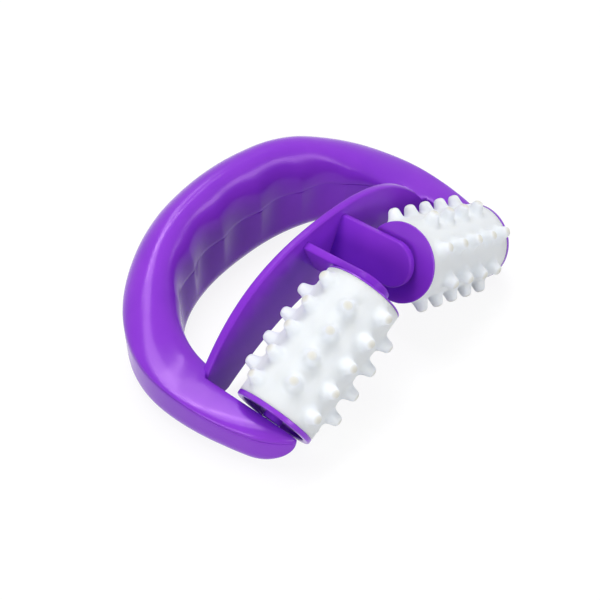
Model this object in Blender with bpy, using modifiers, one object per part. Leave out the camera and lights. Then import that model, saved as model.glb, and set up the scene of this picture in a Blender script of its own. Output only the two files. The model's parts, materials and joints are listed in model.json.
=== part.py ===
"""Hand-held roller massager: a hollow D-shaped grip in two moulded halves, an arched crossbar
with two ears, and two toed-in rollers with nubbed rubber sleeves that spin on fixed pins.

Metres, +Z up. The part lies on the grip's flat underside, which is z = 0. +X is to the right as
the rollers are seen from the front, and +Y runs from the rollers to the palm side of the grip.
The origin is the middle of the footprint. Setbacks and y values in the functions for the grip
and the crossbar are measured from the line through the two rollers' centres.
"""

import bisect
import math

import bmesh
import bpy
from mathutils import Matrix, Vector

# Fits and shared clearances
SEAT_GAP = 0.0003            # between two pieces that touch
CUT_OVERRUN = 0.002          # how far a cutter runs past the face that it opens
MERGE = 0.00001              # weld distance

# Grip, seen from above: the centre line of the D
GRIP_HALF_WIDTH = 0.0676     # to the centre line, at its widest
GRIP_WIDEST_SETBACK = 0.0305
GRIP_BACK_REACH = 0.0496     # from the widest place back to the palm side
GRIP_BACK_EXPONENT = 2.2     # above 2 the palm side is fuller than an ellipse
GRIP_FRONT_REACH = 0.0715    # half length of the ellipse that the two arms follow
ARM_END_REACH = 0.0098       # the arms' centre line ends this far in front of the rollers' line

# Grip, cross-section: half an ellipse over upright sides and a flat underside
GRIP_HEIGHT = 0.0428         # at the palm side
ARM_HEIGHT = 0.0178          # at the arms' ends
GRIP_THICKNESS = 0.0222      # at the palm side, seen from above
ARM_THICKNESS = 0.0176       # at the arms' ends, seen from above, before the rollers' side is cut back
UNDERSIDE_RADIUS = 0.0078
UNDERSIDE_SHARES = (0.3, 0.62)  # of the width: the most that the inner and the outer corner take
ARM_TIP_LENGTH = 0.015       # the arms' free ends are rounded over this length, towards the rollers
ARM_TIP_EXPONENT = 2.4       # above 2 the ends are blunter than an ellipse, seen from above
ARM_TIP_RISE_EXPONENT = 1.8  # the same, seen from the side
ARM_EDGE_EXPONENT = 3.0      # above 2 the arms' upper edge beside the rollers is sharper
TIP_SIZE_SHARES = (0.94, 0.83, 0.66, 0.42, 0.18)  # widths of the sections over the rounded end
SHELL_WALL = 0.0022
PARTING_BACK_HEIGHT = 0.0228  # where the two halves meet, under the palm
PARTING_FRONT_HEIGHT = 0.0143  # the same, at the rollers' line

# How much of the difference between the palm side and the arm's end is left, at shares of the
# centre line from the palm side to the arm's end
HEIGHT_SHARES = ((0.0, 1.0), (0.133, 0.97), (0.204, 0.94), (0.286, 0.85), (0.378, 0.67), (0.475, 0.46),
                 (0.583, 0.21), (0.685, 0.065), (0.798, 0.02), (1.0, 0.0))
THICKNESS_SHARES = ((0.0, 1.0), (0.368, 0.76), (0.475, 0.65), (0.583, 0.45), (0.685, 0.15),
                    (0.798, 0.0), (1.0, 0.0))

# Finger grooves on the inner side of the grip
GROOVE_PITCH = 0.0232
GROOVE_PAIRS = 2             # grooves on either side of the middle one
GROOVE_DEPTH = 0.0022        # in the lower half, from where it fades out downwards
UPPER_GROOVE_DEPTH = 0.0013  # in the upper half, so that a ledge shows along the joint

# Posts inside the grip that line up its two halves
POST_RADIUS = 0.003
PEG_RADIUS = 0.0015
PEG_LENGTH = 0.004
POST_SHARES = (0.17, 0.5)    # their places along one arm's centre line

# Crossbar: an arched wall behind the rollers, with its ends in slots in the arms
WALL_SETBACK = 0.0268        # its front face
WALL_THICKNESS = 0.0032
WALL_CROWN = 0.0485          # its top edge, in the middle
WALL_TOP_DROP = 0.0292       # from the crown to the top edge's height where it meets the arm
WALL_QUADRATIC_SHARE = 0.52  # of that drop; the rest follows the fourth power
WALL_SOFFIT = 0.0196         # its lower edge, in the middle
WALL_SOFFIT_DROP = 0.0225    # as for the top edge
WALL_LOWEST = 0.0026         # the lower edge stays above this height
WALL_END_SETBACK = 0.0068    # from the grip's widest centre line in to where the wall meets the arm
WALL_TAB_LENGTH = 0.0034     # from there into the arm
WALL_EDGE_ROUND = 0.0008

# Rollers, which fill the room between the ears and the arms
ROLLER_INNER_OFFSET = 0.00982   # from the middle of the part to a roller's inner end
PIN_ARM_SETBACK = 0.00637    # from the grip's widest centre line in to where the pin enters the arm
PIN_ARM_HEIGHT = 0.01363     # of the pin's axis there
ROLLER_DROOP = math.radians(24.6)  # the pins run outwards and down
ROLLER_LEAN = math.radians(4.2)    # the plane through both pins leans back
PIN_RADIUS = 0.002
PIN_CLEARANCE = 0.0002       # running clearance round the pin
PIN_END_BEVEL = 0.0005

# Roller caps: a flange, a spigot inside the core and a hub on the pin
CAP_RADIUS = 0.0149
OUTER_CAP_FLANGE = 0.0017
OUTER_CAP_EDGE_ROUND = 0.0008
INNER_CAP_FLANGE = 0.0006
INNER_CAP_EDGE_ROUND = 0.0003
CAP_FLOOR = 0.0019           # thickness of a cap's face inside its spigot
CAP_SPIGOT_LENGTH = 0.006
CAP_SPIGOT_WALL = 0.0016
CAP_HUB_RADIUS = 0.0042
CAP_HUB_LENGTH = 0.009
CORE_WALL = 0.0017

# Nubbed sleeves
SLEEVE_RADIUS = 0.0149       # between the nubs
SLEEVE_WALL = 0.0028
NUB_REACH = 0.0195           # from the roller's axis to a nub's tip
NUB_PITCH_SHARE = 0.1998     # spacing of the nubs along the axis, as a share of the sleeve's length
NUB_FIELD_SHIFT = 0.00013    # the nubs sit this much nearer the arm
NUB_ROWS = 8                 # round the sleeve, a long row after each short one
NUBS_IN_LONG_ROW = 5
NUB_BASE_RADIUS = 0.0034
NUB_TIP_RADIUS = 0.0021
NUB_CROWN_SHARE = 0.5        # of the tip's radius: width and height of the crown's flat
NUB_ROOT_DEPTH = 0.0009      # how far a nub starts under the sleeve's surface
LEFT_SPIN = math.radians(-24.4)
RIGHT_SPIN = math.radians(187.2)

# Ears of the crossbar, square to the pins
EAR_GAP = 0.0022             # from the ear to the roller's inner cap
EAR_THICKNESS = 0.0025
EAR_HEIGHT = 0.0174
EAR_TIP_REACH = 0.0075       # in front of the pin's centre
EAR_CORNER_RADIUS = 0.0068
EAR_EDGE_ROUND = 0.0005
EAR_BOSS_RADIUS = 0.0038
EAR_SEAT_FLOOR = 0.0011      # what is left of the ear behind the pin

# Pin seats in the arms
ARM_GAP = 0.0022             # from the arm to the roller's outer cap
PIN_SEAT_DEPTH = 0.0055

# Facets
PATH_STEPS = 800             # along the centre line, to measure it
GRIP_STATIONS = 20           # from the palm side to the crossbar
ARM_STATIONS = 4             # from the crossbar to an arm's rounded end
CAVITY_STATIONS = 16
POST_STATIONS = 14           # from the palm side to the second post
TOP_POINTS = 10              # over the upper half of a section
CORNER_POINTS = 4            # round one lower corner
ARCH_STEPS = 14
ROUND_STEPS = 28
SMALL_STEPS = 16
NUB_STEPS = 8

# Colours, with roughness and metallic value
VIOLET = ((0.235, 0.045, 0.610), 0.26, 0.0)
WHITE = ((0.860, 0.900, 0.960), 0.42, 0.0)
NATURAL = ((0.620, 0.610, 0.590), 0.50, 0.0)
STEEL = ((0.560, 0.570, 0.580), 0.28, 1.0)

# Worked out from the above. Places along a pin are measured from its sleeve's middle.
SLEEVE_BORE = SLEEVE_RADIUS - SLEEVE_WALL
CORE_RADIUS = SLEEVE_BORE - SEAT_GAP
CORE_BORE = CORE_RADIUS - CORE_WALL
SPIGOT_RADIUS = CORE_BORE - SEAT_GAP
HUB_BORE = PIN_RADIUS + PIN_CLEARANCE
PIN_SEAT_RADIUS = PIN_RADIUS + SEAT_GAP
ROLLER_SPAN = GRIP_HALF_WIDTH - PIN_ARM_SETBACK - ROLLER_INNER_OFFSET
ROLLER_LENGTH = ROLLER_SPAN / math.cos(ROLLER_DROOP) - ARM_GAP
SLEEVE_LENGTH = ROLLER_LENGTH - INNER_CAP_FLANGE - OUTER_CAP_FLANGE - 2 * SEAT_GAP
SLEEVE_HALF = SLEEVE_LENGTH / 2
CAP_UNDERSIDE = SLEEVE_HALF + SEAT_GAP
INNER_END = CAP_UNDERSIDE + INNER_CAP_FLANGE
OUTER_END = CAP_UNDERSIDE + OUTER_CAP_FLANGE
EAR_NEAR = INNER_END + EAR_GAP
EAR_FAR = EAR_NEAR + EAR_THICKNESS
ARM_FACE = OUTER_END + ARM_GAP
PIN_SEAT_END = ARM_FACE + PIN_SEAT_DEPTH
NUB_PITCH = SLEEVE_LENGTH * NUB_PITCH_SHARE
ROLLER_CENTRE_OFFSET = ROLLER_INNER_OFFSET + INNER_END * math.cos(ROLLER_DROOP)
ROLLER_CENTRE_HEIGHT = PIN_ARM_HEIGHT + ARM_FACE * math.sin(ROLLER_DROOP) * math.cos(ROLLER_LEAN)
WALL_SPAN = GRIP_HALF_WIDTH - WALL_END_SETBACK
WALL_TAB_REACH = WALL_SPAN + WALL_TAB_LENGTH
WALL_MIDDLE_SETBACK = WALL_SETBACK + WALL_THICKNESS / 2
# the arms are solid round the crossbar's tabs and from there to their ends
CAVITY_SETBACK = WALL_SETBACK + WALL_THICKNESS + SEAT_GAP + SHELL_WALL
GRIP_BACK = GRIP_WIDEST_SETBACK + GRIP_BACK_REACH + GRIP_THICKNESS / 2
# the foremost nub is the outermost one, because the rollers lean and droop
LAST_NUB = NUB_PITCH * (NUBS_IN_LONG_ROW - 1) / 2 + NUB_FIELD_SHIFT
ROLLER_FRONT = NUB_REACH + LAST_NUB * math.sin(ROLLER_DROOP) * math.sin(ROLLER_LEAN)
# the rollers' line lies in front of the footprint's middle
ROLLER_LINE_Y = (ROLLER_FRONT - GRIP_BACK) / 2

for old in list(bpy.data.objects):
    bpy.data.objects.remove(old)
part = bpy.data.collections.new("roller_massager")
tools = bpy.data.collections.new("cutters")
bpy.context.scene.collection.children.link(part)
bpy.context.scene.collection.children.link(tools)


def material(name, look):
    """A Principled BSDF material from (colour, roughness, metallic)."""
    colour, roughness, metallic = look
    made = bpy.data.materials.new(name)
    made.use_nodes = True
    shader = made.node_tree.nodes["Principled BSDF"]
    shader.inputs["Base Color"].default_value = (*colour, 1.0)
    shader.inputs["Roughness"].default_value = roughness
    shader.inputs["Metallic"].default_value = metallic
    return made


def add_object(name, mesh, look=None):
    """Link a mesh as a sub-part, or as a hidden cutter where it has no look."""
    obj = bpy.data.objects.new(name, mesh)
    if look is None:
        tools.objects.link(obj)
        obj.hide_render = True
        obj.display_type = "WIRE"
    else:
        part.objects.link(obj)
        mesh.materials.clear()
        mesh.materials.append(material(name, look))
    return obj


def mesh_object(name, bm):
    """A cutter, or a form to work on, from a bmesh."""
    mesh = bpy.data.meshes.new(name)
    bm.to_mesh(mesh)
    bm.free()
    return add_object(name, mesh)


def shade(obj, degrees=35):
    """Smooth shading with the corners kept sharp."""
    obj.data.shade_smooth()
    obj.data.set_sharp_from_angle(angle=math.radians(degrees))


def boolean(obj, operation, other):
    mod = obj.modifiers.new(other.name, "BOOLEAN")
    mod.operation = operation
    mod.object = other
    mod.solver = "EXACT"


def bevel(obj, width, segments=2, degrees=40):
    mod = obj.modifiers.new("edges", "BEVEL")
    mod.width = width
    mod.segments = segments
    mod.limit_method = "ANGLE"
    mod.angle_limit = math.radians(degrees)


def baked(obj):
    """Replace an object's modifiers by their result."""
    depsgraph = bpy.context.evaluated_depsgraph_get()
    mesh = bpy.data.meshes.new_from_object(obj.evaluated_get(depsgraph))
    obj.modifiers.clear()
    obj.data = mesh
    return obj


def mirrored(name, half, look):
    """A sub-part from its right half, which runs a little past the middle and is cut there."""
    whole = add_object(name, half.data, look)
    mod = whole.modifiers.new("halves", "MIRROR")
    mod.use_axis = (True, False, False)
    mod.use_bisect_axis = (True, False, False)
    mod.use_mirror_merge = True
    mod.bisect_threshold = MERGE
    mod.merge_threshold = MERGE
    shade(baked(whole))


def turned(name, profile, steps):
    """A solid of revolution about Z: profile points (radius, z) run down the outer side."""
    bm = bmesh.new()
    verts = [bm.verts.new((r, 0.0, z)) for r, z in profile]
    on_axis = profile[0][0] == 0.0
    for a, b in zip(verts, verts[1:] if on_axis else verts[1:] + verts[:1]):
        bm.edges.new((a, b))
    obj = mesh_object(name, bm)
    screw = obj.modifiers.new("turn", "SCREW")
    screw.axis = "Z"
    screw.steps = steps
    screw.render_steps = steps
    screw.use_merge_vertices = True
    screw.merge_threshold = MERGE
    return baked(obj)


def plate(name, outline, low, high, matrix):
    """A flat outline in the matrix's XY plane, filled, with thickness from z = low to high."""
    curve = bpy.data.curves.new(name, "CURVE")
    curve.dimensions = "2D"
    curve.fill_mode = "BOTH"
    curve.extrude = (high - low) / 2
    spline = curve.splines.new("POLY")
    spline.points.add(len(outline) - 1)
    for point, (x, y) in zip(spline.points, outline):
        point.co = (x, y, 0.0, 1.0)
    spline.use_cyclic_u = True
    drawn = bpy.data.objects.new(name + "_outline", curve)
    tools.objects.link(drawn)
    depsgraph = bpy.context.evaluated_depsgraph_get()
    bm = bmesh.new()
    bm.from_mesh(bpy.data.meshes.new_from_object(drawn.evaluated_get(depsgraph)))
    bpy.data.objects.remove(drawn)
    bmesh.ops.remove_doubles(bm, verts=bm.verts, dist=MERGE)
    bmesh.ops.dissolve_limit(bm, angle_limit=math.radians(0.3), verts=bm.verts, edges=bm.edges)
    middle = Matrix.Translation((0, 0, (low + high) / 2))
    bmesh.ops.transform(bm, verts=bm.verts, matrix=matrix @ middle)
    bmesh.ops.recalc_face_normals(bm, faces=bm.faces)
    return mesh_object(name, bm)


def loft(name, rings):
    """A closed skin through rings of equally many points, with a cap at either end."""
    bm = bmesh.new()
    loops = [[bm.verts.new(p) for p in ring] for ring in rings]
    for near, far in zip(loops, loops[1:]):
        for i in range(len(near)):
            j = (i + 1) % len(near)
            bm.faces.new((near[i], near[j], far[j], far[i]))
    bm.faces.new(loops[0])
    bm.faces.new(loops[-1])
    bmesh.ops.recalc_face_normals(bm, faces=bm.faces)
    return mesh_object(name, bm)


def cylinder(name, radius, low, high, matrix):
    """A cylinder from z = low to high along the matrix's Z axis."""
    bm = bmesh.new()
    middle = Matrix.Translation((0, 0, (low + high) / 2))
    bmesh.ops.create_cone(bm, cap_ends=True, segments=SMALL_STEPS, radius1=radius, radius2=radius,
                          depth=high - low, matrix=matrix @ middle)
    return mesh_object(name, bm)


def smooth_table(table, share):
    """A value between the rows of a table of shares, on a smooth curve that starts level."""
    i = max(k for k in range(len(table) - 1) if table[k][0] <= share)
    (a, va), (b, vb) = table[i], table[i + 1]
    before = table[max(i - 1, 0)]
    after = table[min(i + 2, len(table) - 1)]
    start = (vb - before[1]) / (b - before[0]) * (b - a) if i > 0 else 0.0
    end = (after[1] - va) / (after[0] - a) * (b - a)
    k = (share - a) / (b - a)
    blend = k * k * (3 - 2 * k)
    return va * (1 - blend) + vb * blend + start * k * (1 - k) ** 2 - end * (1 - k) * k ** 2


def centre_line(angle):
    """A point of the right half of the grip's centre line; the palm side is at 90 degrees."""
    c = math.cos(angle)
    s = math.sin(angle)
    if angle <= 0:
        return Vector((GRIP_HALF_WIDTH * c, GRIP_WIDEST_SETBACK + GRIP_FRONT_REACH * s))
    power = 2 / GRIP_BACK_EXPONENT
    x = GRIP_HALF_WIDTH * max(c, 0) ** power
    return Vector((x, GRIP_WIDEST_SETBACK + GRIP_BACK_REACH * s ** power))


def centre_path():
    """Points along the centre line from the palm side to the arm's end, and their lengths."""
    end = -math.asin((GRIP_WIDEST_SETBACK + ARM_END_REACH) / GRIP_FRONT_REACH)
    start = math.pi / 2
    points = [centre_line(start + (end - start) * i / PATH_STEPS) for i in range(PATH_STEPS + 1)]
    lengths = [0.0]
    for a, b in zip(points, points[1:]):
        lengths.append(lengths[-1] + (b - a).length)
    return points, lengths


PATH, PATH_LENGTHS = centre_path()
ARM_LENGTH = PATH_LENGTHS[-1]


def place_at(length):
    """The centre line's point at a length from the palm side, and the outward direction there."""
    i = min(max(bisect.bisect_left(PATH_LENGTHS, length), 1), PATH_STEPS)
    start, end = PATH[i - 1], PATH[i]
    mix = (length - PATH_LENGTHS[i - 1]) / (PATH_LENGTHS[i] - PATH_LENGTHS[i - 1])
    along = (end - start).normalized()
    outward = Vector((-along.y, along.x)) if length > 0 else Vector((0, 1))
    return start.lerp(end, mix), outward


def parting(y):
    """Height of the plane where the grip's two halves meet."""
    run = GRIP_WIDEST_SETBACK + GRIP_BACK_REACH
    return PARTING_FRONT_HEIGHT + (PARTING_BACK_HEIGHT - PARTING_FRONT_HEIGHT) * y / run


def groove(length):
    """Depth of the finger grooves as a share, at a length along the centre line."""
    if length >= GROOVE_PITCH * (GROOVE_PAIRS + 1 / 2):
        return 0.0
    return (1 + math.cos(2 * math.pi * length / GROOVE_PITCH)) / 2


def tip_shrink(length, exponent):
    """The section's share of its full size, which falls over the arm's rounded end."""
    left = ARM_LENGTH - length
    if left >= ARM_TIP_LENGTH:
        return 1.0
    return (1 - (1 - left / ARM_TIP_LENGTH) ** exponent) ** (1 / exponent)


def roller_frame(side):
    """A roller's frame: origin in its middle, +Z outwards along its pin; side is -1 or 1."""
    centre = Matrix.Translation((side * ROLLER_CENTRE_OFFSET, ROLLER_LINE_Y, ROLLER_CENTRE_HEIGHT))
    lean = Matrix.Rotation(-ROLLER_LEAN, 4, "X")
    return centre @ lean @ Matrix.Rotation(side * (math.pi / 2 + ROLLER_DROOP), 4, "Y")


RIGHT = roller_frame(1)
RIGHT_INVERSE = RIGHT.inverted()
RIGHT_AXIS = RIGHT.col[2].to_3d()


def beyond_face(place, inset):
    """How far a place in the right arm lies beyond the arm's face towards the roller."""
    return (RIGHT_INVERSE @ place).z - ARM_FACE - inset


def inner_side(point, outward, reach, inset):
    """Where a section's inner side lies, from the centre line. From the crossbar forwards it
    keeps the arm's gap to the roller."""
    if point.y > WALL_SETBACK:
        return -reach
    x, y = point
    here = beyond_face(Vector((x, ROLLER_LINE_Y + y, parting(y))), inset)
    x, y = point + outward * reach
    further = beyond_face(Vector((x, ROLLER_LINE_Y + y, parting(y))), inset)
    return max(-reach, reach * here / (here - further))


def section(length, inset, half):
    """One ring of the grip's skin, inset from it. half is "upper", "lower" or "whole"."""
    point, outward = place_at(length)
    share = min(length / ARM_LENGTH, 1.0)
    thick = ARM_THICKNESS + (GRIP_THICKNESS - ARM_THICKNESS) * smooth_table(THICKNESS_SHARES, share)
    top = ARM_HEIGHT + (GRIP_HEIGHT - ARM_HEIGHT) * smooth_table(HEIGHT_SHARES, share) - inset
    reach = thick / 2 - inset
    inner = inner_side(point, outward, reach, inset)
    width = reach - inner
    inner_radius, outer_radius = (min(UNDERSIDE_RADIUS, share * (width + 2 * inset)) - inset
                                  for share in UNDERSIDE_SHARES)
    narrowed = tip_shrink(length, ARM_TIP_EXPONENT)
    lowered = tip_shrink(length, ARM_TIP_RISE_EXPONENT)
    deep = groove(length)
    ahead = point.y <= WALL_SETBACK
    edge_bend = 2 / ARM_EDGE_EXPONENT if ahead else 1.0

    def spot(out, height, gap=0.0):
        """out is measured from the inner side, and height is a function of the seam's own there."""
        x, y = point + outward * (inner + out * narrowed)
        seam = parting(y)
        place = Vector((x, ROLLER_LINE_Y + y, seam + (height(seam) - seam) * lowered + gap))
        if ahead:
            side = outward.to_3d()
            place -= side * min(beyond_face(place, inset), 0) / side.dot(RIGHT_AXIS)
        return place

    gap = {"upper": SEAT_GAP / 2, "lower": -SEAT_GAP / 2, "whole": 0.0}[half]
    ring = []
    if half != "lower":
        turns = [math.pi * i / TOP_POINTS for i in range(TOP_POINTS + 1)]
        for turn in turns[1:-1] if half == "whole" else turns:
            across, rise = math.cos(turn), math.sin(turn)
            if turn in (turns[0], turns[-1]):
                rise = 0.0
            elif across < 0:
                across, rise = -abs(across) ** edge_bend, rise ** edge_bend
            out = width * (1 + across) / 2
            if across < 0:
                out += UPPER_GROOVE_DEPTH * deep * across ** 2
            ring.append(spot(out, lambda seam: seam + (top - seam) * rise, gap * (1 - rise)))
    if half != "upper":
        turns = [math.pi / 2 * i / CORNER_POINTS for i in range(CORNER_POINTS + 1)]
        ring.append(spot(GROOVE_DEPTH * deep, lambda seam: seam, gap))
        for turn in turns:
            ring.append(spot(inner_radius * (1 - math.cos(turn)),
                             lambda seam: inset + inner_radius * (1 - math.sin(turn))))
        for turn in turns:
            ring.append(spot(width - outer_radius * (1 - math.sin(turn)),
                             lambda seam: inset + outer_radius * (1 - math.cos(turn))))
        ring.append(spot(width, lambda seam: seam, gap))
    return ring


def length_at(setback):
    """Where the centre line comes forward to a setback."""
    return next(length for point, length in zip(PATH, PATH_LENGTHS) if point.y <= setback)


def lengths_to(end, stations):
    """Even stations from the palm side to a length."""
    return [end * i / stations for i in range(stations + 1)]


def skin_lengths():
    """Stations along the whole arm: none within the crossbar, and more over the rounded end."""
    ahead = length_at(WALL_SETBACK)
    straight = ARM_LENGTH - ARM_TIP_LENGTH
    lengths = lengths_to(length_at(WALL_SETBACK + WALL_THICKNESS), GRIP_STATIONS)
    lengths += [ahead + (straight - ahead) * i / ARM_STATIONS for i in range(ARM_STATIONS + 1)]
    for share in TIP_SIZE_SHARES:
        gone = (1 - share ** ARM_TIP_EXPONENT) ** (1 / ARM_TIP_EXPONENT)
        lengths.append(straight + ARM_TIP_LENGTH * gone)
    return lengths


def grip_skin(name, half, inset=0.0, lengths=None, overrun=CUT_OVERRUN):
    """The right half of the skin, closed, from a little past the middle of the part."""
    rings = [section(length, inset, half) for length in lengths or skin_lengths()]
    past = [Vector((-overrun, p.y, p.z)) for p in rings[0]]
    return loft(name, [past] + rings)


def grip_cavity():
    """The hollow inside both halves of the grip."""
    lengths = lengths_to(length_at(CAVITY_SETBACK), CAVITY_STATIONS)
    return grip_skin("grip_cavity", "whole", SHELL_WALL, lengths, 2 * CUT_OVERRUN)


def wall_top(x):
    k = x / WALL_SPAN
    fall = WALL_QUADRATIC_SHARE * k ** 2 + (1 - WALL_QUADRATIC_SHARE) * k ** 4
    return WALL_CROWN - WALL_TOP_DROP * fall


def wall_foot(x):
    return max(WALL_SOFFIT - WALL_SOFFIT_DROP * (x / WALL_SPAN) ** 2, WALL_LOWEST)


def wall_outline(grow=0.0):
    """The right half of the wall, from a little past the middle, as (x, height) points."""
    stops = [WALL_TAB_REACH * i / ARCH_STEPS for i in range(ARCH_STEPS + 1)]
    ends = [-CUT_OVERRUN] + stops[:-1] + [WALL_TAB_REACH + grow]
    foot = [wall_foot(max(x, 0)) - grow for x in [0.0] + stops]
    crown = [wall_top(max(x, 0)) + grow for x in [0.0] + stops]
    return list(zip(ends, foot)) + list(zip(ends, crown))[::-1]


def upright():
    """A frame with X to +X, Y to +Z and Z from the wall's back face to its front face."""
    back = Matrix.Translation((0, ROLLER_LINE_Y + WALL_SETBACK + WALL_THICKNESS, 0))
    return back @ Matrix.Rotation(math.pi / 2, 4, "X")


def grip_shells():
    """Both moulded halves: skins less their hollow, with posts, pegs and what is let into them."""
    cavity = grip_cavity()
    pin_seat = cylinder("pin_seat", PIN_SEAT_RADIUS, OUTER_END, PIN_SEAT_END, RIGHT)
    slot = plate("wall_slot", wall_outline(SEAT_GAP), -SEAT_GAP, WALL_THICKNESS + SEAT_GAP, upright())
    past_posts = ARM_LENGTH * POST_SHARES[-1] + 2 * POST_RADIUS
    for half in ("upper", "lower"):
        name = f"grip_{half}_shell"
        shell = grip_skin(name + "_form", half)
        boolean(shell, "DIFFERENCE", cavity)
        post_room = grip_skin(f"{half}_post_room", half, SHELL_WALL / 2, lengths_to(past_posts, POST_STATIONS))
        for share in POST_SHARES:
            point, _ = place_at(ARM_LENGTH * share)
            stand = Matrix.Translation((point.x, ROLLER_LINE_Y + point.y, parting(point.y)))
            post = cylinder(f"{half}_post", POST_RADIUS, -GRIP_HEIGHT, GRIP_HEIGHT, stand)
            boolean(post, "INTERSECT", post_room)
            boolean(shell, "UNION", baked(post))
            if half == "upper":
                peg = cylinder("peg", PEG_RADIUS, -PEG_LENGTH, PEG_LENGTH, stand)
                boolean(shell, "UNION", peg)
            else:
                hole = cylinder("peg_hole", PEG_RADIUS + SEAT_GAP, -PEG_LENGTH - SEAT_GAP, PEG_LENGTH, stand)
                boolean(shell, "DIFFERENCE", hole)
        for cutter in (pin_seat, slot):
            boolean(shell, "DIFFERENCE", cutter)
        mirrored(name, baked(shell), VIOLET)


def ear_outline():
    """An ear seen along its pin, as (across, back) points: square in the wall, round in front."""
    half = EAR_HEIGHT / 2
    centre = half - EAR_CORNER_RADIUS
    points = [(half, WALL_MIDDLE_SETBACK)]
    for side, start in ((1, 0.0), (-1, math.pi / 2)):
        for i in range(2 * CORNER_POINTS + 1):
            turn = start + math.pi / 2 * i / (2 * CORNER_POINTS)
            points.append((side * centre + EAR_CORNER_RADIUS * math.cos(turn),
                           EAR_CORNER_RADIUS - EAR_TIP_REACH - EAR_CORNER_RADIUS * math.sin(turn)))
    points.append((-half, WALL_MIDDLE_SETBACK))
    return points


def crossbar():
    """The arched wall with an ear, a boss and a blind pin seat on either side."""
    wall = plate("wall_form", wall_outline(), 0.0, WALL_THICKNESS, upright())
    bevel(wall, WALL_EDGE_ROUND)
    ear = plate("ear_form", ear_outline(), -EAR_FAR, -EAR_NEAR, RIGHT)
    bevel(ear, EAR_EDGE_ROUND, 1)
    boss = cylinder("ear_boss", EAR_BOSS_RADIUS, -EAR_NEAR - EAR_THICKNESS / 2, -INNER_END - SEAT_GAP, RIGHT)
    seat = cylinder("ear_seat", PIN_SEAT_RADIUS, EAR_SEAT_FLOOR - EAR_FAR, -INNER_END + CUT_OVERRUN, RIGHT)
    baked(wall)
    boolean(wall, "UNION", baked(ear))
    boolean(wall, "UNION", boss)
    boolean(wall, "DIFFERENCE", seat)
    mirrored("crossbar", baked(wall), VIOLET)


def cap_form(name, end, edge, hub_top):
    """A roller's end cap with its face at z = end in the roller's frame."""
    profile = [(HUB_BORE, hub_top), (CAP_HUB_RADIUS, hub_top)]
    if hub_top > end:
        profile.append((CAP_HUB_RADIUS, end))
    inner = SPIGOT_RADIUS - CAP_SPIGOT_WALL
    spigot_end = CAP_UNDERSIDE - CAP_SPIGOT_LENGTH
    profile += [(CAP_RADIUS - edge, end), (CAP_RADIUS, end - edge), (CAP_RADIUS, CAP_UNDERSIDE),
                (SPIGOT_RADIUS, CAP_UNDERSIDE), (SPIGOT_RADIUS, spigot_end), (inner, spigot_end),
                (inner, end - CAP_FLOOR), (CAP_HUB_RADIUS, end - CAP_FLOOR),
                (CAP_HUB_RADIUS, end - CAP_HUB_LENGTH), (HUB_BORE, end - CAP_HUB_LENGTH)]
    return turned(name, profile, ROUND_STEPS)


def tube_form(name, outer, bore, half):
    return turned(name, [(bore, half), (outer, half), (outer, -half), (bore, -half)], ROUND_STEPS)


def pin_form():
    """The fixed steel pin, from the ear's seat to the arm's seat, with both ends bevelled."""
    inner_end = SEAT_GAP + EAR_SEAT_FLOOR - EAR_FAR
    outer_end = PIN_SEAT_END - SEAT_GAP
    profile = [(0.0, outer_end), (PIN_RADIUS - PIN_END_BEVEL, outer_end), (PIN_RADIUS, outer_end - PIN_END_BEVEL),
               (PIN_RADIUS, inner_end + PIN_END_BEVEL), (PIN_RADIUS - PIN_END_BEVEL, inner_end), (0.0, inner_end)]
    return turned("pin_form", profile, SMALL_STEPS)


def sleeve_form():
    """A tube with rows of blunt cones on it, the odd rows one longer than the even ones."""
    sleeve = tube_form("sleeve_form", SLEEVE_RADIUS, SLEEVE_BORE, SLEEVE_HALF)
    crown = NUB_TIP_RADIUS * NUB_CROWN_SHARE
    profile = [(0.0, NUB_REACH), (crown, NUB_REACH), (NUB_TIP_RADIUS, NUB_REACH - NUB_TIP_RADIUS + crown),
               (NUB_BASE_RADIUS, SLEEVE_RADIUS - NUB_ROOT_DEPTH), (0.0, SLEEVE_RADIUS - NUB_ROOT_DEPTH)]
    nub = turned("nub_form", profile, NUB_STEPS)
    field = bmesh.new()
    for row in range(NUB_ROWS):
        count = NUBS_IN_LONG_ROW - 1 + row % 2
        around = Matrix.Rotation(2 * math.pi * row / NUB_ROWS, 4, "Z")
        for i in range(count):
            along = Matrix.Translation((0, 0, NUB_FIELD_SHIFT + NUB_PITCH * (i - (count - 1) / 2)))
            field.from_mesh(nub.data)
            new = field.verts[-len(nub.data.vertices):]
            bmesh.ops.transform(field, verts=new, matrix=around @ along @ Matrix.Rotation(math.pi / 2, 4, "Y"))
    boolean(sleeve, "UNION", mesh_object("nub_field", field))
    return baked(sleeve)


def rollers():
    """Both rollers, on empties that lie on their pins."""
    sleeve = sleeve_form()
    core = tube_form("core_form", CORE_RADIUS, CORE_BORE, SLEEVE_HALF)
    outer_cap = cap_form("outer_cap_form", OUTER_END, OUTER_CAP_EDGE_ROUND, ARM_FACE - SEAT_GAP)
    inner_cap = cap_form("inner_cap_form", INNER_END, INNER_CAP_EDGE_ROUND, INNER_END)
    pin = pin_form()
    for side, label, spin in ((-1, "left", LEFT_SPIN), (1, "right", RIGHT_SPIN)):
        axis = bpy.data.objects.new(label + "_roller_axis", None)
        axis.empty_display_size = SLEEVE_HALF
        axis.matrix_world = roller_frame(side)
        part.objects.link(axis)
        for role, form, look, flip, turn in (("sleeve", sleeve, WHITE, 0.0, spin),
                                             ("core", core, NATURAL, 0.0, 0.0),
                                             ("outer_cap", outer_cap, VIOLET, 0.0, 0.0),
                                             ("inner_cap", inner_cap, VIOLET, math.pi, 0.0),
                                             ("pin", pin, STEEL, 0.0, 0.0)):
            obj = add_object(f"{label}_roller_{role}", form.data.copy(), look)
            obj.parent = axis
            obj.rotation_euler = (flip, 0.0, turn)
            shade(obj)


grip_shells()
crossbar()
rollers()
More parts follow.
